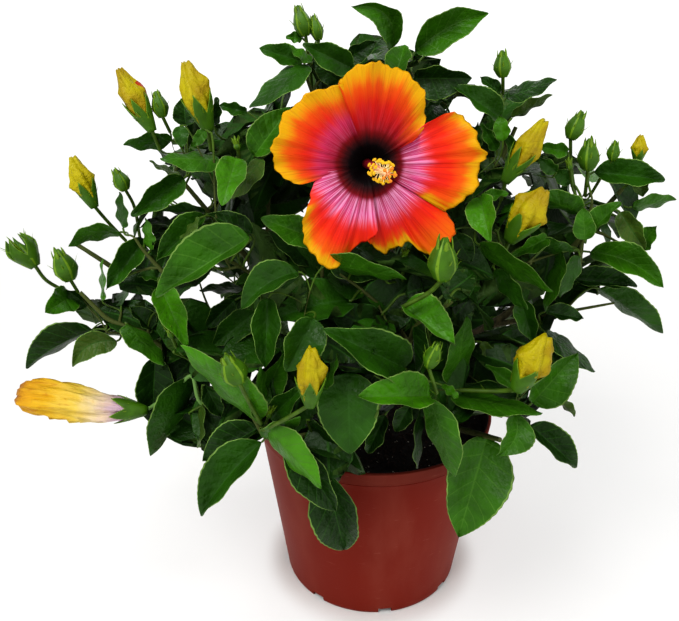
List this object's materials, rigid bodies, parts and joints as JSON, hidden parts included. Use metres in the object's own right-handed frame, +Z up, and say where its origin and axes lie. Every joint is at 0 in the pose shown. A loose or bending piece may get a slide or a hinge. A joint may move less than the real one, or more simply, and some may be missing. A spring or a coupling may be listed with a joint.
{
  "type": "potted hibiscus shrub",
  "caption": "Leafy flowering shrub on short woody stems in a round tapered nursery pot, with an open ruffled flower facing forward and a spent one at the side.",
  "frame": {"origin": "centre of the pot's flat underside", "axes": "+Z up through the pot's axis, -Y the way the open flower faces, +X to the right seen from the flower's side"},
  "size_m": [0.5613, 0.4092, 0.5053],
  "materials": {
    "pot": "satin moulded plastic",
    "soil": "damp crumbly potting mix",
    "bark": "fine bark, rough",
    "green_stalk": "smooth green skin",
    "leaf": "glossy leaf",
    "petal": "soft petal",
    "spent_petal": "wrinkled faded petal"
  },
  "bodies": {
    "root": {"bough_back": "bark", "bough_back_left": "bark", "bough_back_low_right": "bark", "bough_front": "bark", "bough_left": "bark", "bough_low_left": "bark", "bough_low_right": "bark", "bough_right": "bark", "bough_top": "bark", "bough_upper_left": "bark", "bough_upper_right": "bark", "foliage_back": "leaf", "foliage_back_left": "leaf", "foliage_back_low_left": "leaf", "foliage_back_low_right": "leaf", "foliage_back_right": "leaf", "foliage_back_top": "leaf", "foliage_centre_left": "leaf", "foliage_front": "leaf", "foliage_front_low": "leaf", "foliage_heart": "leaf", "foliage_left_arm": "leaf", "foliage_left_low": "leaf", "foliage_low_left": "leaf", "foliage_low_right": "leaf", "foliage_right": "leaf", "foliage_right_front": "leaf", "foliage_right_low": "leaf", "foliage_top": "leaf", "foliage_top_left": "leaf", "foliage_top_right": "leaf", "foliage_upper_left": "leaf", "main_stem": "bark", "open_flower": "petal", "open_flower_stalk": "green_stalk", "pot": "pot", "side_bough_back_low_left": "bark", "side_bough_back_right": "bark", "side_bough_back_top": "bark", "side_bough_centre_left": "bark", "side_bough_front_low": "bark", "side_bough_heart": "bark", "side_bough_left_low": "bark", "side_bough_right_front": "bark", "side_bough_right_low": "bark", "side_bough_top_left": "bark", "soil": "soil", "spent_flower": "spent_petal"}
  },
  "joints": []
}
